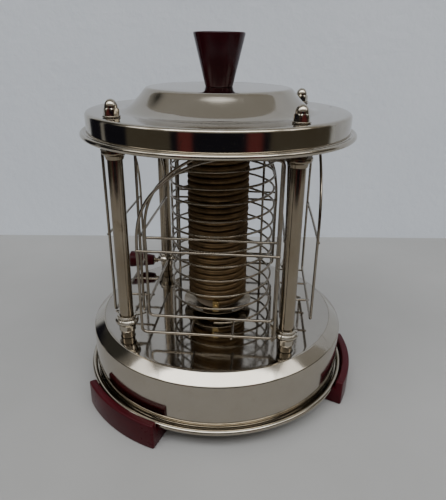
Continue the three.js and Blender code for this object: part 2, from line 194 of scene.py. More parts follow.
def earthy(name, base, dark, rough=(0.6, 0.85), metallic=0.0, scale=60, bump=0.3):
    m, nt, bsdf = nodes_of(name)
    tc = add(nt, "ShaderNodeTexCoord").outputs["Object"]
    a = noise_node(nt, tc, scale, 6, 0.7)
    b = noise_node(nt, tc, scale * 5, 4, 0.6)
    col = mix(nt, remap(nt, a, 0.35, 0.7, 0.0, 1.0), base, dark)
    col = mix(nt, remap(nt, b, 0.5, 0.8, 0.0, 0.4), col, tuple(min(1, c * 1.6) for c in base))
    nt.links.new(col, bsdf.inputs["Base Color"])
    bsdf.inputs["Metallic"].default_value = metallic
    nt.links.new(remap(nt, a, 0.3, 0.7, rough[0], rough[1]), bsdf.inputs["Roughness"])
    bumps(nt, bsdf, [(a, bump, 0.0006), (b, bump * 0.6, 0.0002)])
    return m

BRASS_UNDER = (0.36, 0.30, 0.20)
M_NICKEL = plated("nickel_polished", (0.47, 0.43, 0.365), (0.36, 0.32, 0.255), BRASS_UNDER, (0.045, 0.13), 0.5)
M_MIRROR = plated("nickel_mirror", (0.46, 0.43, 0.385), (0.36, 0.33, 0.28), BRASS_UNDER, (0.03, 0.11), 0.45, (1, 1, 1), 0.03, 0.06)
M_POST = plated("nickel_posts", (0.32, 0.275, 0.21), (0.20, 0.165, 0.115), (0.30, 0.22, 0.13), (0.08, 0.22), 0.8, (14, 14, 0.6), 0.10, 0.05)
M_WIRE = plated("nickel_wire", (0.33, 0.295, 0.245), (0.155, 0.13, 0.10), (0.24, 0.19, 0.13), (0.14, 0.3), 0.85, (2, 2, 2), 0.12, 0.0)
M_DARKWIRE = plated("nickel_guard", (0.30, 0.265, 0.21), (0.11, 0.09, 0.065), (0.22, 0.16, 0.1), (0.16, 0.36), 1.0, (2, 2, 2), 0.12, 0.0)
M_STEEL = plated("steel_plain", (0.36, 0.34, 0.31), (0.2, 0.17, 0.14), (0.2, 0.12, 0.07), (0.3, 0.55), 0.9, (8, 8, 8), 0.2, 0.0)
M_BRASS = plated("brass_dull", (0.58, 0.43, 0.2), (0.3, 0.2, 0.09), (0.62, 0.5, 0.26), (0.22, 0.45), 0.8, (4, 4, 4), 0.1, 0.0)
M_RED = moulded("bakelite_red", (0.044, 0.0020, 0.0050), (0.066, 0.0030, 0.0074), (0.24, 0.38), 0.0, 0.18)
M_KNOB = moulded("bakelite_dark", (0.020, 0.0022, 0.0042), (0.036, 0.0030, 0.0062), (0.12, 0.22), 0.0, 0.24)
M_BLACK = moulded("insulator_black", (0.012, 0.010, 0.010), (0.03, 0.026, 0.024), (0.35, 0.5), 0.1)
M_COIL = earthy("resistance_wire", (0.20, 0.125, 0.055), (0.075, 0.047, 0.022), (0.30, 0.5), 0.7, 40, 0.1)
M_CERAMIC = earthy("ceramic_unglazed", (0.40, 0.33, 0.25), (0.24, 0.18, 0.12), (0.7, 0.9), 0.0, 60, 0.3)
M_CLOSING = plated("lid_underside", (0.34, 0.31, 0.26), (0.2, 0.17, 0.13), (0.26, 0.18, 0.1), (0.22, 0.45), 0.9, (1, 1, 1), 0.08, 0.1)
MATS = {"nickel": M_NICKEL, "nickel_worn": M_POST, "wire": M_WIRE, "steel": M_STEEL, "bakelite_red": M_RED,
        "bakelite_dark": M_KNOB, "heater_wire": M_COIL, "ceramic": M_CERAMIC, "brass": M_BRASS, "insulator": M_BLACK}

# ------------------------------------------------------------------ mesh helpers (all input in millimetres)
def new_piece(name, bm, material, body, node, smooth=True, sharp=None, place=None):
    nodes = node if isinstance(node, (list, tuple)) else [node]
    bmesh.ops.remove_doubles(bm, verts=bm.verts, dist=1e-4)
    bmesh.ops.recalc_face_normals(bm, faces=bm.faces)
    # wear attribute: how sharply the surface turns at each vertex, outward only
    layer = bm.verts.layers.float.new("wear")
    for v in bm.verts:
        w = 0.0
        for e in v.link_edges:
            if len(e.link_faces) == 2 and e.is_convex:
                turn = e.calc_face_angle(0.0)
                across = max(e.link_faces[0].calc_area() / max(e.calc_length(), 1e-6), 1e-3)
                w = max(w, min(1.0, turn / 0.35) * min(1.0, 1.2 / across))
        v[layer] = max(0.0, min(1.0, w))
    bmesh.ops.transform(bm, matrix=Matrix.Scale(MM, 4), verts=bm.verts)
    if place is not None:
        bmesh.ops.transform(bm, matrix=place, verts=bm.verts)
    me = bpy.data.meshes.new(name)
    bm.to_mesh(me)
    bm.free()
    for p in me.polygons:
        p.use_smooth = smooth
    if sharp:
        me.set_sharp_from_angle(angle=math.radians(sharp))
    me.materials.append(material)
    ob = bpy.data.objects.new(name, me)
    scene.collection.objects.link(ob)
    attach(ob, body)
    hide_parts(*nodes)
    return ob
AXIS_PLACE = Matrix.Translation((AX, AY, 0))
def extra_piece(name, bm, material, body, place=None, sharp=None):
    bmesh.ops.remove_doubles(bm, verts=bm.verts, dist=1e-4)
    bmesh.ops.recalc_face_normals(bm, faces=bm.faces)
    bm.verts.layers.float.new("wear")
    bmesh.ops.transform(bm, matrix=Matrix.Scale(MM, 4), verts=bm.verts)
    if place is not None:
        bmesh.ops.transform(bm, matrix=place, verts=bm.verts)
    me = bpy.data.meshes.new(name)
    bm.to_mesh(me)
    bm.free()
    for p in me.polygons:
        p.use_smooth = True
    if sharp:
        me.set_sharp_from_angle(angle=math.radians(sharp))
    me.materials.append(material)
    ob = bpy.data.objects.new(name, me)
    scene.collection.objects.link(ob)
    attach(ob, body)
    return ob

def fillet(profile, closed=False, steps=4):
    """profile entries are (r, z) or (r, z, radius): rounds the corners that give a radius"""
    out = []
    n = len(profile)
    for i, p in enumerate(profile):
        rad = p[2] if len(p) > 2 else 0
        if not rad or (not closed and i in (0, n - 1)):
            out.append((p[0], p[1]))
            continue
        c = Vector(p[:2]); a = Vector(profile[i - 1][:2]) - c; b = Vector(profile[(i + 1) % n][:2]) - c
        la, lb = a.length, b.length
        a.normalize(); b.normalize()
        ang = math.acos(max(-1, min(1, a.dot(b))))
        d = min(rad / max(math.tan(ang / 2), 1e-3), la * 0.49, lb * 0.49)
        s, e = c + a * d, c + b * d
        for k in range(steps + 1):
            t = k / steps
            q = s * (1 - t) ** 2 + c * 2 * t * (1 - t) + e * t * t
            out.append((q.x, q.y))
    return out

def lathe(profile, segs=96, closed=False, bm=None, axis="Z", arc=None):
    """turns a profile; closed joins its last point to its first; arc=(a0, a1) in degrees makes a capped sector"""
    bm = bm or bmesh.new()
    def pos(r, z, t):
        if axis == "Z":
            return Vector((r * math.cos(t), r * math.sin(t), z))
        if axis == "X":
            return Vector((z, r * math.cos(t), r * math.sin(t)))
        return Vector((r * math.sin(t), z, r * math.cos(t)))
    n = segs if arc is None else segs + 1
    rings = []
    for j in range(n):
        t = 2 * math.pi * j / segs if arc is None else math.radians(arc[0] + (arc[1] - arc[0]) * j / segs)
        rings.append(t)
    cols = []
    for r, z in profile:
        if r < 1e-6:
            v = bm.verts.new(pos(0, z, 0)); cols.append([v] * n)
        else:
            cols.append([bm.verts.new(pos(r, z, t)) for t in rings])
    pairs = list(zip(cols, cols[1:])) + ([(cols[-1], cols[0])] if closed else [])
    for a, b in pairs:
        for j in range(n if arc is None else n - 1):
            k = (j + 1) % n
            vs = []
            for v in (a[j], a[k], b[k], b[j]):
                if v not in vs:
                    vs.append(v)
            if len(vs) >= 3:
                bm.faces.new(vs)
    if arc is not None:
        bm.faces.new([c[0] for c in cols])
        bm.faces.new([c[-1] for c in reversed(cols)])
    return bm

def tube(points, r, sides=12, closed=False, bm=None, ends="round", radii=None):
    bm = bm or bmesh.new()
    P = [Vector(p) for p in points]
    n = len(P)
    T = []
    for i in range(n):
        a = P[(i - 1) % n] if (closed or i > 0) else P[i]
        b = P[(i + 1) % n] if (closed or i < n - 1) else P[i]
        T.append((b - a).normalized())
    ref = Vector((0, 0, 1)) if abs(T[0].z) < 0.8 else Vector((0, 1, 0))
    N = (ref - T[0] * ref.dot(T[0])).normalized()
    frames = []
    for i in range(n):
        if i:
            ax = T[i - 1].cross(T[i])
            if ax.length > 1e-9:
                N = Matrix.Rotation(T[i - 1].angle(T[i]), 3, ax.normalized()) @ N
            N = (N - T[i] * N.dot(T[i])).normalized()
        frames.append((P[i], T[i], N.copy()))
    rings = []
    def ring(p, t, nrm, rad):
        bn = t.cross(nrm)
        return [bm.verts.new(p + nrm * (rad * math.cos(2 * math.pi * k / sides)) + bn * (rad * math.sin(2 * math.pi * k / sides))) for k in range(sides)]
    rr = lambda i: (radii[i] if radii else r)
    if not closed and ends == "round":
        p, t, nn = frames[0]
        for a in (80, 50, 22):
            rings.append(ring(p - t * (rr(0) * 0.8 * math.sin(math.radians(a))), t, nn, rr(0) * math.cos(math.radians(a))))
    for i, (p, t, nn) in enumerate(frames):
        rings.append(ring(p, t, nn, rr(i)))
    if not closed and ends == "round":
        p, t, nn = frames[-1]
        for a in (22, 50, 80):
            rings.append(ring(p + t * (rr(n - 1) * 0.8 * math.sin(math.radians(a))), t, nn, rr(n - 1) * math.cos(math.radians(a))))
    m = len(rings)
    shift = 0
    if closed:
        best = 1e9
        for s in range(sides):
            d = (rings[-1][0].co - rings[0][s].co).length
            if d < best:
                best, shift = d, s
    for i in range(m if closed else m - 1):
        a, b = rings[i], rings[(i + 1) % m]
        s = shift if (closed and i == m - 1) else 0
        for k in range(sides):
            bm.faces.new((a[k], a[(k + 1) % sides], b[(k + 1 + s) % sides], b[(k + s) % sides]))
    if not closed:
        bm.faces.new(list(reversed(rings[0])))
        bm.faces.new(rings[-1])
    return bm

def poly_round(corners, steps=6):
    """corners: (x, y, radius) in a plane; returns the rounded closed loop"""
    return fillet(corners, closed=True, steps=steps)

def spline(pts, per=6):
    out = []
    n = len(pts)
    for i in range(n - 1):
        p0 = Vector(pts[max(i - 1, 0)]); p1 = Vector(pts[i]); p2 = Vector(pts[i + 1]); p3 = Vector(pts[min(i + 2, n - 1)])
        for k in range(per):
            t = k / per
            out.append(0.5 * ((2 * p1) + (p2 - p0) * t + (2 * p0 - 5 * p1 + 4 * p2 - p3) * t * t + (3 * p1 - p0 - 3 * p2 + p3) * t ** 3))
    out.append(Vector(pts[-1]))
    return out

def slab(outline, z0, z1, bm=None, soft=0.35):
    """flat plate from an outline, with softened edges"""
    own = bmesh.new()
    lower = [own.verts.new((x, y, z0)) for x, y in outline]
    upper = [own.verts.new((x, y, z1)) for x, y in outline]
    n = len(outline)
    own.faces.new(list(reversed(lower)))
    own.faces.new(upper)
    for i in range(n):
        own.faces.new((lower[i], lower[(i + 1) % n], upper[(i + 1) % n], upper[i]))
    if soft:
        edges = [e for e in own.edges if e.calc_face_angle(0) > 0.6]
        bmesh.ops.bevel(own, geom=edges, offset=soft, segments=2, affect="EDGES", profile=0.6)
    if bm is None:
        return own
    me = bpy.data.meshes.new("tmp"); own.to_mesh(me); own.free(); bm.from_mesh(me); bpy.data.meshes.remove(me)
    return bm

def cut_holes(ob, cutters):
    """boolean difference with round cutters: (centre, axis, radius, length) in metres"""
    bm = bmesh.new()
    for c, axis, r, length in cutters:
        mat = Matrix.Translation(c) @ Vector((0, 0, 1)).rotation_difference(Vector(axis)).to_matrix().to_4x4()
        bmesh.ops.create_cone(bm, cap_ends=True, segments=40, radius1=r, radius2=r, depth=length, matrix=mat)
    me = bpy.data.meshes.new("cutter"); bm.to_mesh(me); bm.free()
    cu = bpy.data.objects.new("cutter", me); scene.collection.objects.link(cu)
    mod = ob.modifiers.new("cut", "BOOLEAN"); mod.operation = "DIFFERENCE"; mod.solver = "EXACT"; mod.object = cu
    dg = bpy.context.evaluated_depsgraph_get()
    new = bpy.data.meshes.new_from_object(ob.evaluated_get(dg))
    old = ob.data
    ob.modifiers.clear()
    ob.data = new
    bpy.data.meshes.remove(old)
    bpy.data.objects.remove(cu)
    bpy.data.meshes.remove(me)
    ob.data.set_sharp_from_angle(angle=math.radians(35))
    return ob

# ------------------------------------------------------------------ base
BAND_R, SHOULDER_R = 113.7, 104.3
shell = [(112.6, 21.2), (110.3, 21.2, 0.3), (110.3, 17.7, 0.3), (111.2, 17.7, 0.3), (111.2, 20.4, 0.4), (BAND_R, 20.4, 0.7), (BAND_R, 57.6, 2.4),
         (SHOULDER_R + 0.5, 64.75, 0.7), (103.86, 64.98, 0.1), (103.9, 63.5, 0.2), (100.6, 63.5), (100.6, 62.5), (104.0, 62.5, 0.4),
         (112.5, 56.4, 1.0)]
ob = new_piece("base_shell_skin", lathe(fillet(shell, True, 5), 192, closed=True), M_NICKEL, "root", "base_shell", sharp=50, place=AXIS_PLACE)
INLET = mid("inlet_shroud")
cut_holes(ob, [(Vector((AX, AY + 0.113, INLET.z)), (0, 1, 0), 0.01235, 0.022)])
bead = [(117.0 + 2.2 * math.cos(math.radians(a)), 17.9 + 2.2 * math.sin(math.radians(a))) for a in range(-112, 156, 12)]
pan = [(0, 16.0), (8, 16.0), (9, 15.4), (40, 15.4), (42, 16.0), (78, 16.0), (80, 15.5), (96, 15.5), (98, 16.0), (114.2, 16.0)] + bead + [(114.4, 17.2), (0, 17.2)]
new_piece("base_pan_skin", lathe(pan, 192), M_NICKEL, "root", "base_pan", sharp=60, place=AXIS_PLACE)
plate = [(0, 63.75), (103.6, 63.75, 0.2), (103.8, 64.95, 0.12), (101.5, 65.0), (60, 64.98), (0, 64.98)]
ob = new_piece("reflector_plate_skin", lathe(fillet(plate, False, 4), 160), M_MIRROR, "root", "reflector_plate", sharp=40, place=AXIS_PLACE)
cut_holes(ob, [(Vector((p.x, p.y, 0.064)), (0, 0, 1), 0.0063, 0.01) for p in POST.values()])

# feet: moulded curved blocks with softened corners
for node in ("foot_left", "foot_right", "foot_back"):
    deg = {"foot_left": -123, "foot_right": -3, "foot_back": 117}[node]
    prof = [(100, 0), (113, 0), (126.5, 0), (126.5, 11), (126.5, 23), (120.2, 23), (119.9, 15.3), (110, 15.3), (100, 15.3)]
    bm = lathe(prof, 22, closed=True, arc=(-19, 19))
    bmesh.ops.recalc_face_normals(bm, faces=bm.faces)
    edges = [e for e in bm.edges if len(e.link_faces) == 2 and e.calc_face_angle(0) > 0.5]
    bmesh.ops.bevel(bm, geom=edges, offset=1.5, segments=5, affect="EDGES", profile=0.5, clamp_overlap=True)
    new_piece(node + "_skin", bm, M_RED, "root", node, sharp=40, place=AXIS_PLACE @ Matrix.Rotation(math.radians(deg), 4, "Z"))

# ------------------------------------------------------------------ lid, dome, knob
LB_R, LB_Z, LB = 107.9, 227.4, 2.05
lbead = [(LB_R + LB * math.cos(math.radians(a)), LB_Z + LB * math.sin(math.radians(a))) for a in range(176, 512, 12)]
lid = lbead + [(105.3, 228.75), (105.02, 229.0), (105.0, 229.6), (105.0, 241.4), (104.7, 242.6), (104.0, 243.4), (102.8, 243.85), (101, 243.9),
               (90, 243.9), (80, 243.95), (73.6, 243.9), (73.6, 243.0), (101, 242.9), (103.6, 242.2), (104.0, 241), (104.0, 229.4)]
ob = new_piece("lid_skin", lathe(lid, 192, closed=True), M_NICKEL, "root", "lid", sharp=60, place=AXIS_PLACE)
cut_holes(ob, [(Vector((AX + 0.0969 * math.cos(math.radians(21)), AY + 0.0969 * math.sin(math.radians(21)), 0.2435)), (0, 0, 1), 0.0011, 0.006)])
new_piece("lid_closing_skin", lathe(fillet([(0, 226.2), (30, 226.2), (31, 226.6), (60, 226.6), (61, 226.2), (103.3, 226.2, 0.2), (103.3, 227.05, 0.2), (0, 227.05)], False, 3), 128),
          M_CLOSING, "root", "lid_closing_plate", sharp=50, place=AXIS_PLACE)
cut_holes(bpy.data.objects["lid_closing_skin"], [(Vector((p.x, p.y, 0.2266)), (0, 0, 1), 0.0062, 0.01) for p in POST.values()])
dome = [(80.2, 243.92), (79.6, 244.02), (78.2, 244.16), (76.6, 244.45), (75.0, 244.95), (73.2, 245.75), (71.2, 246.95), (69.2, 248.4), (67.0, 250.3), (64.8, 252.5), (62.8, 254.6),
        (61.0, 256.7), (59.6, 258.4), (58.5, 259.6), (57.5, 260.35), (56.3, 260.78), (54.9, 260.9), (40, 260.9), (20, 260.9), (12, 260.88), (3.2, 260.88)]
under = [(3.2, 259.8), (54, 259.9), (56.6, 259.1), (59.6, 256.0), (64, 251.4), (70, 246.9), (74.6, 244.5), (76.5, 243.96), (79.0, 243.9)]
new_piece("lid_dome_skin", lathe(dome + under, 192, closed=True), M_NICKEL, "root", "lid_dome", sharp=60, place=AXIS_PLACE)
knob = [(0, 274), (3.2, 274), (3.2, 260.95), (10.55, 260.95), (10.8, 261.1), (10.95, 261.5), (19.95, 298.6), (20.0, 299.3), (19.75, 299.95), (19.2, 300.25), (18.0, 300.3),
        (14, 300.05), (8, 299.8), (0, 299.7)]
new_piece("top_knob_skin", lathe(knob, 96), M_KNOB, "root", "top_knob", sharp=50, place=AXIS_PLACE)

# ------------------------------------------------------------------ tie rods, acorn nuts
def hexagon(r, turn=0):
    return [(r * math.cos(math.radians(60 * k + turn)), r * math.sin(math.radians(60 * k + turn))) for k in range(6)]
def hex_head(bm, r, z0, z1, turn=0, chamfer_top=True, chamfer_bottom=False):
    """a hexagon turned down at its corners by a cone, as a real nut is"""
    own = bmesh.new()
    rows = 48
    def rad(t):
        a = (math.degrees(t) - turn) % 60 - 30
        return r * math.cos(math.radians(30)) / math.cos(math.radians(a))
    zs = []
    flat = r * math.cos(math.radians(30))
    for zz, cap in ((z0, chamfer_bottom), (z0 + 0.7, False), (z1 - 0.7, False), (z1, chamfer_top)):
        zs.append((zz, cap))
    rings = []
    for zz, cap in zs:
        ring = []
        for j in range(rows):
            t = 2 * math.pi * j / rows
            q = rad(t)
            if cap:
                q = min(q, flat * 0.97)
            ring.append(own.verts.new((q * math.cos(t), q * math.sin(t), zz)))
        rings.append(ring)
    for a, b in zip(rings, rings[1:]):
        for j in range(rows):
            own.faces.new((a[j], a[(j + 1) % rows], b[(j + 1) % rows], b[j]))
    own.faces.new(list(reversed(rings[0]))); own.faces.new(rings[-1])
    me = bpy.data.meshes.new("tmp"); own.to_mesh(me); own.free(); bm.from_mesh(me); bpy.data.meshes.remove(me)
    return bm
random.seed(7)
for s, p in POST.items():
    here = Matrix.Translation((p.x, p.y, 0))
    turn = random.uniform(0, 60)
    bm = lathe(fillet([(0, 244.2), (6.4, 244.2, 0.2), (6.4, 245.2, 0.3), (0, 245.25)], False, 3), 40)
    hex_head(bm, 5.85, 245.2, 250.3, turn)
    lathe([(0, 250.0), (4.6, 250.0), (4.65, 250.5), (4.6, 251.4), (4.35, 252.6), (3.85, 253.8), (3.1, 254.9), (2.1, 255.7), (1.0, 256.1), (0, 256.2)], 40, bm=bm)
    new_piece(f"acorn_nut_{s}_skin", bm, M_NICKEL, "root", f"acorn_nut_{s}", sharp=38, place=here)
    bm = lathe([(0, 15.7), (2.5, 15.7), (2.5, 25.6), (5.2, 25.6), (5.2, 28.8), (2.5, 28.8), (2.5, 251.3), (0, 251.3)], 32)
    hex_head(bm, 4.6, 12.4, 15.7, turn + 11, False, True)
    new_piece(f"tie_rod_{s}_skin", bm, M_STEEL, "root", f"tie_rod_{s}", sharp=38, place=here)

bm = lathe([(0, 15.7), (2.75, 15.7), (2.75, 40), (6.4, 40), (6.4, 43.5), (2.75, 43.5), (2.75, 272.8), (0, 272.8)], 32)
hex_head(bm, 5.2, 12.4, 15.7, 20, False, True)
new_piece("centre_rod_skin", bm, M_STEEL, "root", "centre_rod", sharp=38, place=AXIS_PLACE)

# ------------------------------------------------------------------ heater
core = [(3.2, 66.5), (12, 66.5, 0.4), (12, 69.8, 0.6), (20.3, 72.6, 0.6), (20.3, 219.9, 0.5), (3.2, 219.9)]
new_piece("heater_core_skin", lathe(fillet(core, True, 3), 64, closed=True), M_CERAMIC, "root", "heater_core", sharp=40, place=AXIS_PLACE)
# the resistance wire: a close spiral spring wound round the core
Z0, Z1, RC, RW = 78.6, 215.4, 24.15, 2.62
TURNS, WIND = 27, 92
bm = bmesh.new()
count = TURNS * WIND * 2
SID = 10
prev = None
for i in range(count + 1):
    f = i / count
    t = f * TURNS * 2 * math.pi - math.pi / 2
    rad = RW + (0.12 if i % 2 else -0.75)
    wob = 0.12 * math.sin(t * 1.7) + 0.08 * math.sin(t * 4.3 + 1)
    z = Z0 + (Z1 - Z0) * f + 0.15 * math.sin(t * 0.37)
    c = Vector(((RC + wob) * math.cos(t), (RC + wob) * math.sin(t), z))
    er = Vector((math.cos(t), math.sin(t), 0))
    ring = []
    for k in range(SID):
        a = 2 * math.pi * k / SID
        lean = 0.22 * math.cos(a)
        p = c + er * ((rad - 0.35) * math.cos(a)) + Vector((0, 0, (rad + 0.1) * math.sin(a))) + Vector((-math.sin(t), math.cos(t), 0)) * lean
        if math.hypot(p.x, p.y) < 20.6:
            q = 20.6 / math.hypot(p.x, p.y)
            p.x *= q; p.y *= q
        ring.append(bm.verts.new(p))
    if prev:
        for k in range(SID):
            bm.faces.new((prev[k], ring[k], ring[(k + 1) % SID], prev[(k + 1) % SID]))
    else:
        bm.faces.new(ring)
    prev = ring
bm.faces.new(list(reversed(prev)))
new_piece("heater_coil_skin", bm, M_COIL, "root", "heater_coil", place=AXIS_PLACE)
dish = [(3.2, 65.35), (14, 65.35), (18, 65.8), (22, 67.0), (26.5, 69.2), (31, 71.7, 0.3), (31, 72.5, 0.3), (26.2, 70.1), (21.7, 67.9), (17.8, 66.6), (13.8, 66.1), (3.2, 66.1)]
new_piece("heater_dish_skin", lathe(fillet(dish, True, 3), 96, closed=True), M_POST, "root", "heater_dish", sharp=45, place=AXIS_PLACE)
bm = slab([(0.4, -30.1), (5.6, -30.1), (5.6, -27.6), (0.4, -27.6)], 73.6, 83.8, soft=0.5)
lathe(fillet([(0, -31.4), (1.9, -31.4, 0.5), (1.9, -30.0), (0, -30.0)], False, 4), 24, bm=bm, axis="Y")
for v in bm.verts:
    if v.co.y < -29.95 and abs(v.co.z) < 3 and v.co.z < 40:
        v.co += Vector((3.0, 0, 78.5))
new_piece("heater_terminal_skin", bm, M_BRASS, "root", "heater_terminal", sharp=40, place=AXIS_PLACE)

# ------------------------------------------------------------------ guard: coiled wire and its two rods
GX, GY, GR = 3.9, 0.6, 44.0
pts = []
N = 11 * 56
for i in range(N + 1):
    f = i / 56
    t = f * 2 * math.pi - math.pi / 2
    r = GR + 0.45 * math.sin(t * 0.73) - (0.3 if i in (0, N) else 0)
    pts.append((GX + r * math.cos(t), GY + r * math.sin(t), 70.3 + 13.2 * f + 0.5 * math.sin(t * 0.41)))
bm = tube(pts, 0.95, 10)
new_piece("guard_coil_skin", bm, M_DARKWIRE, "root", "guard_coil", place=AXIS_PLACE)
for n, deg in (("guard_rod_left", 172), ("guard_rod_right", 36)):
    c = mid(n)
    bm = tube([(0, 0, 65.3), (0.05, 0.03, 110), (-0.05, 0.04, 165), (0, 0, 225.5)], 1.08, 14, ends="flat")
    new_piece(n + "_skin", bm, M_WIRE, "root", n, place=Matrix.Translation((c.x, c.y, 0)))
    # the wire ties that hold each turn of the coil to the rod
    bm = bmesh.new()
    rx, ry = (c.x - AX) / MM, (c.y - AY) / MM
    a0 = math.atan2(ry - GY, rx - GX)
    for k in range(11):
        f = ((a0 + math.pi / 2) % (2 * math.pi)) / (2 * math.pi) + k
        z = 70.3 + 13.2 * f
        er = Vector((math.cos(a0), math.sin(a0), 0)); et = Vector((-math.sin(a0), math.cos(a0), 0))
        ctr = Vector((rx, ry, z)) + er * 1.0
        loop = [ctr + er * (2.15 * math.cos(q)) + (et * 0.5 + Vector((0, 0, 0.87))) * (1.35 * math.sin(q)) for q in [2 * math.pi * j / 18 for j in range(18)]]
        tube(loop, 0.24, 6, closed=True, bm=bm)
    extra_piece(n + "_ties", bm, M_WIRE, "root", place=AXIS_PLACE)

# ------------------------------------------------------------------ racks
W = 1.15; SH = 12.4; U0, U1 = 10.0, 113.0; RZ0, RZM, RZ1 = 83.0, 152.0, 221.5
arch = spline([(113.3, 146), (113.5, 154), (112.8, 166), (110.4, 177.5), (106.2, 187.3), (100.8, 195), (93.8, 202), (85.5, 208.5), (76.5, 213.7), (66.4, 217.7), (54, 220.6), (42, RZ1)], 5)
def frame_loop():
    pts = fillet([(U0, RZ1, 5), (U0, RZ0, 4.5), (U1, RZ0, 4.5), (113.3, 146)], False, 6)
    pts = [(U0, 160)] + fillet([(U0, 160), (U0, RZ0, 4.5), (U1, RZ0, 4.5), (113.3, 146)], False, 7)[1:]
    dense = []
    for a, b in zip(pts, pts[1:]):
        n = max(1, int((Vector(b) - Vector(a)).length // 12))
        for k in range(n):
            dense.append(Vector(a).lerp(Vector(b), k / n))
    pts = dense + list(arch)
    top = fillet([(42, RZ1), (U0, RZ1, 5), (U0, 160)], False, 7)
    for a, b in zip(top, top[1:]):
        n = max(1, int((Vector(b) - Vector(a)).length // 12))
        for k in range(n):
            if not (a == top[0] and k == 0):
                pts.append(Vector(a).lerp(Vector(b), k / n))
    return [(p[0], p[1]) for p in pts]
LOOP = frame_loop()
def rack_wires(v0, sgn, bend):
    bm = tube([(u, v0 + bend * math.sin((z - 60) / 52.0) * 0.5, z) for u, z in LOOP], W, 12, closed=True)
    # mid bar: its flattened ends are welded to the outer side of the uprights
    vu = v0 + bend * math.sin((RZM - 60) / 52.0) * 0.5
    path = [Vector((U0 - 0.6, vu + sgn * 0.95, RZM)), Vector((U0 + 0.8, vu + sgn * 0.9, RZM))]
    path += [Vector((U0 + (103.4) * k / 9, vu + sgn * (0.55 + 0.2 * math.sin(math.pi * k / 9)), RZM + 0.25 * math.sin(math.pi * k / 9 + bend))) for k in range(1, 9)]
    path += [Vector((112.6, vu + sgn * 0.9, RZM)), Vector((114.0, vu + sgn * 0.95, RZM))]
    tube(path, W * 0.93, 12, bm=bm, radii=[W * 0.86, W * 0.93] + [W * 0.93] * 8 + [W * 0.93, W * 0.86])
    return bm
def cross_wires(bm):
    for u in (43, 75.5):
        z = RZ0 - 1.75 * W
        pts = [Vector((u + 0.15 * math.sin(k), -SH - 0.9 + (2 * SH + 2.2) * k / 7, z + (0.35 if k in (0, 7) else 0.0))) for k in range(8)]
        tube(pts, W * 0.9, 12, bm=bm)
    return bm
for i, (s, turn) in enumerate(SIDES.items()):
    p = POST[s]
    body = "rack_" + s
    here = Matrix.Translation((p.x, p.y, 0)) @ Matrix.Rotation(math.radians(turn + OPEN), 4, "Z")
    # post tube, with the rolled ends of drawn tube
    tubep = [(4.0, 29.2), (5.4, 29.2, 0.2), (5.7, 29.6, 0.3), (5.7, 80.6), (5.7, 130), (5.7, 180), (5.7, 242.1, 0.3), (5.4, 242.5, 0.2), (4.0, 242.5)]
    new_piece(f"post_tube_{s}_skin", lathe(fillet(tubep, True, 2), 56, closed=True), M_POST, body, f"post_tube_{s}", sharp=45, place=here)
    bm = lathe(fillet([(6.1, 71.5), (6.6, 71.5, 0.2), (6.8, 72.2, 0.3), (6.8, 76.9, 0.8), (9.0, 78.8, 0.8), (9.65, 80.0, 0.5), (9.65, 81.4, 0.6), (8.6, 82.8, 0.5), (7.1, 83.3, 0.4), (7.15, 83.9, 0.3),
                       (7.95, 84.2, 0.3), (7.95, 85.4, 0.4), (7.0, 85.8, 0.2), (6.1, 85.8)], True, 4), 64, closed=True)
    slab([(7.2, -6.4), (9.4, -9.6), (11.6, -13.2), (12.6, -13.2), (12.6, 13.2), (11.6, 13.2), (9.4, 9.6), (7.2, 6.4)], 80.0, 81.3, bm=bm, soft=0.4)
    new_piece(f"bottom_collar_{s}_skin", bm, M_NICKEL, body, f"bottom_collar_{s}", sharp=42, place=here)
    bm = lathe(fillet([(6.1, 214.6), (6.5, 214.6, 0.2), (6.8, 215.8, 0.6), (7.4, 217.4, 0.8), (9.2, 218.7, 0.7), (9.6, 219.5, 0.4), (9.6, 221.3, 0.3), (6.1, 221.4)], True, 4), 64, closed=True)
    slab([(6.6, -6.6), (7.2, -10.0), (7.9, -13.2), (8.4, -13.2), (8.4, 13.2), (7.9, 13.2), (7.2, 10.0), (6.6, 6.6)], 218.8, 219.5, bm=bm, soft=0.2)
    new_piece(f"top_collar_{s}_skin", bm, M_POST, body, f"top_collar_{s}", sharp=42, place=here)
    # hand-bent wires: each rack's bend differs by a fraction of a millimetre
    bend = [0.5, -0.4, 0.35, -0.5][i]
    bm = cross_wires(rack_wires(SH, 1, bend))
    new_piece(f"outer_frame_{s}_skin", bm, M_WIRE, body, f"outer_frame_{s}", place=here)
    new_piece(f"inner_frame_{s}_skin", rack_wires(-SH, -1, -bend), M_WIRE, body, f"inner_frame_{s}", place=here)

# ------------------------------------------------------------------ side handle
p = POST["back"]
here = Matrix.Translation((p.x, p.y, (Z_PLATE + 10.8) * MM)) @ Matrix.Rotation(math.radians(OPEN + 180), 4, "Z")
stem = [(0, 6.6), (1.25, 6.6), (1.25, 9.6), (2.3, 9.8), (2.6, 10.2), (2.6, 11.0), (2.2, 11.4), (2.2, 12.2), (2.7, 12.5), (3.3, 12.8), (3.4, 13.4), (3.2, 13.9), (2.0, 14.0), (2.0, 23.8), (0, 23.8)]
new_piece("handle_stem_skin", lathe(stem, 40, axis="X"), M_POST, "rack_back", "handle_stem", sharp=50, place=here)
grip = [(2.3, 14.0), (4.9, 14.0), (5.3, 14.3), (5.5, 15.0), (8.6, 38.0), (8.7, 38.8), (8.4, 39.5), (7.6, 39.9), (6.0, 40.0), (0, 39.8)]
new_piece("handle_grip_skin", lathe(grip + [(0, 24.4), (2.3, 24.4)], 64, closed=False, axis="X"), M_RED, "rack_back", "handle_grip", sharp=50, place=here)

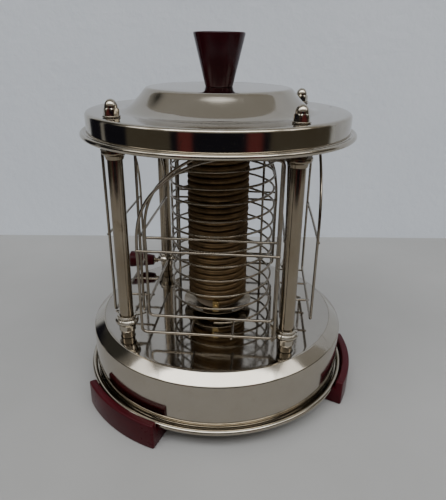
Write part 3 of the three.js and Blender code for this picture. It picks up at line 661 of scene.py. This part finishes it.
# ------------------------------------------------------------------ rear appliance inlet
inl = Matrix.Translation((AX, AY, INLET.z))
sh = [(10.9, 101.2), (12.0, 101.2), (12.0, 114.2), (13.6, 114.2, 0.3), (13.6, 115.2, 0.4), (12.1, 115.6, 0.3), (12.1, 125.4, 0.3), (11.9, 126.0, 0.3), (11.2, 126.0, 0.3), (11.2, 108.2), (10.9, 108.2)]
new_piece("inlet_shroud_skin", lathe(fillet(sh, True, 3), 72, closed=True, axis="Y"), M_POST, "root", "inlet_shroud", sharp=45, place=inl)
ob = new_piece("inlet_insulator_skin", lathe(fillet([(0, 101.4), (10.3, 101.4, 0.2), (10.3, 107.8, 0.5), (9.2, 107.8), (8.8, 107.3), (0, 107.3)], False, 3), 64, axis="Y"), M_BLACK, "root", "inlet_insulator", sharp=45, place=inl)
for n in ("inlet_pin_left", "inlet_pin_right"):
    c = mid(n)
    prof = [(0, 100.2), (2.2, 100.2), (2.2, 121.0), (2.0, 122.0), (1.5, 122.7), (0.8, 122.95), (0, 123.0)]
    new_piece(n + "_skin", lathe(prof, 32, axis="Y"), M_BRASS, "root", n, sharp=50, place=Matrix.Translation((c.x, AY, c.z)))

# ------------------------------------------------------------------ carried-over nodes get finished materials
slots = {sp["node"]: sp["material_slot"] for sp in frame["record"]["subparts"]}
for name, ob in frame["nodes"].items():
    m = MATS[slots[name]]
    if ob.data.materials:
        for i in range(len(ob.data.materials)):
            ob.data.materials[i] = m
    else:
        ob.data.materials.append(m)

# ------------------------------------------------------------------ floor and light
ROOM = Matrix.Translation((AX, AY, 0)) @ Matrix.Rotation(TURN, 4, "Z")
def stage_plane(name, corners, material):
    me = bpy.data.meshes.new(name)
    me.from_pydata([tuple(ROOM @ Vector(c)) for c in corners], [], [(0, 1, 2, 3)])
    me.materials.append(material)
    o = bpy.data.objects.new(name, me)
    scene.collection.objects.link(o)
    return o
def plain(name, a, b, bump):
    fm, nt, bsdf = nodes_of(name)
    tc = add(nt, "ShaderNodeTexCoord").outputs["Object"]
    nt.links.new(mix(nt, remap(nt, noise_node(nt, tc, 3.5, 4, 0.6), 0.3, 0.7, 0.0, 1.0), a, b), bsdf.inputs["Base Color"])
    bsdf.inputs["Roughness"].default_value = 0.9
    bsdf.inputs["Specular IOR Level"].default_value = 0.2
    bumps(nt, bsdf, [(noise_node(nt, tc, 70, 4, 0.6), bump, 0.004)])
    return fm
stage_plane("floor", [(-0.8, -0.72, 0), (0.95, -0.72, 0), (1.2, 0.34, 0), (-0.8, 0.34, 0)], plain("floor_cloth", (0.375, 0.37, 0.36), (0.43, 0.425, 0.415), 0.04))
stage_plane("wall", [(-0.43, 0.34, -0.02), (1.2, 0.34, -0.02), (1.2, 0.34, 1.1), (-0.43, 0.34, 1.1)], plain("wall_plain", (0.72, 0.76, 0.82), (0.78, 0.82, 0.88), 0.3))

world = bpy.data.worlds.new("studio")
scene.world = world
world.use_nodes = True
wt = world.node_tree
wt.nodes.clear()
wo = wt.nodes.new("ShaderNodeOutputWorld")
bg = wt.nodes.new("ShaderNodeBackground")
wt.links.new(bg.outputs[0], wo.inputs[0])
wc = add(wt, "ShaderNodeTexCoord").outputs["Generated"]
def toward(v):
    d = add(wt, "ShaderNodeVectorMath", operation="DOT_PRODUCT")
    wt.links.new(wc, d.inputs[0])
    d.inputs[1].default_value = Matrix.Rotation(TURN, 3, "Z") @ Vector(v)
    return d.outputs["Value"]
azim = math_node(wt, "ARCTAN2", toward((1, 0, 0)), toward((0, -1, 0)))
turn_of = remap(wt, azim, -math.pi, math.pi, 0.0, 1.0)
height = toward((0, 0, 1))
def ramp(src, stops):
    r = add(wt, "ShaderNodeValToRGB")
    r.color_ramp.elements[0].position = stops[0][0]
    r.color_ramp.elements[0].color = (*stops[0][1], 1)
    r.color_ramp.elements[1].position = stops[-1][0]
    r.color_ramp.elements[1].color = (*stops[-1][1], 1)
    for pos, c in stops[1:-1]:
        e = r.color_ramp.elements.new(pos)
        e.color = (*c, 1)
    wt.links.new(src, r.inputs[0])
    return r.outputs[0]
PALE, INK, OLIVE, RUST = (0.50, 0.53, 0.56), (0.012, 0.012, 0.017), (0.080, 0.072, 0.055), (0.13, 0.034, 0.034)
low = ramp(turn_of, [(0.0, PALE), (0.125, PALE), (0.135, INK), (0.188, INK), (0.192, (0.25, 0.25, 0.24)), (0.202, (0.25, 0.25, 0.24)), (0.206, INK), (0.276, INK),
                     (0.284, OLIVE), (0.392, OLIVE), (0.394, INK), (0.409, INK), (0.413, RUST), (0.440, RUST), (0.444, INK), (0.561, INK), (0.565, RUST), (0.595, RUST),
                     (0.599, INK), (0.614, INK), (0.618, OLIVE), (0.784, OLIVE), (0.796, PALE), (1.0, PALE)])
MIST, SKY, EAVES = (0.30, 0.29, 0.27), (1.75, 1.8, 1.85), (0.36, 0.355, 0.34)
mid_ring = ramp(turn_of, [(0.0, EAVES), (0.12, EAVES), (0.16, (0.05, 0.05, 0.045)), (0.22, (0.05, 0.05, 0.045)), (0.25, MIST), (0.75, MIST), (0.82, EAVES), (1.0, EAVES)])
sky_ring = ramp(turn_of, [(0.0, EAVES), (0.245, EAVES), (0.262, SKY), (0.738, SKY), (0.755, EAVES), (1.0, EAVES)])
col = mix(wt, remap(wt, height, 0.22, 0.34, 0.0, 1.0), low, mid_ring)
col = mix(wt, remap(wt, height, 0.60, 0.72, 0.0, 1.0), col, sky_ring)
over = math_node(wt, "ADD", toward((0, 1, 0)), 0.26)
col = mix(wt, math_node(wt, "MULTIPLY", remap(wt, over, 0.0, 0.05, 0.0, 1.0), remap(wt, height, 0.6, 0.75, 0.0, 1.0)), col, EAVES)
wt.links.new(col, bg.inputs[0])
bg.inputs[1].default_value = 1.0

def area(name, loc, size, power, target=(0, 0, 0.12), color=(1, 1, 1)):
    d = bpy.data.lights.new(name, "AREA"); d.shape = "RECTANGLE"; d.size, d.size_y = size; d.energy = power; d.color = color
    o = bpy.data.objects.new(name, d); scene.collection.objects.link(o)
    o.location = ROOM @ Vector(loc)
    o.rotation_euler = (Vector(target) - o.location).to_track_quat("-Z", "Y").to_euler()
    return o
area("sky_panel", (0.0, -0.95, 1.6), (2.6, 0.7), 17, color=(0.97, 0.985, 1.0))
area("side_panel_left", (-1.5, -0.5, 1.3), (0.7, 0.7), 2.5, color=(0.97, 0.98, 1.0))
area("side_panel_right", (1.5, -0.5, 1.3), (0.7, 0.7), 2.5)
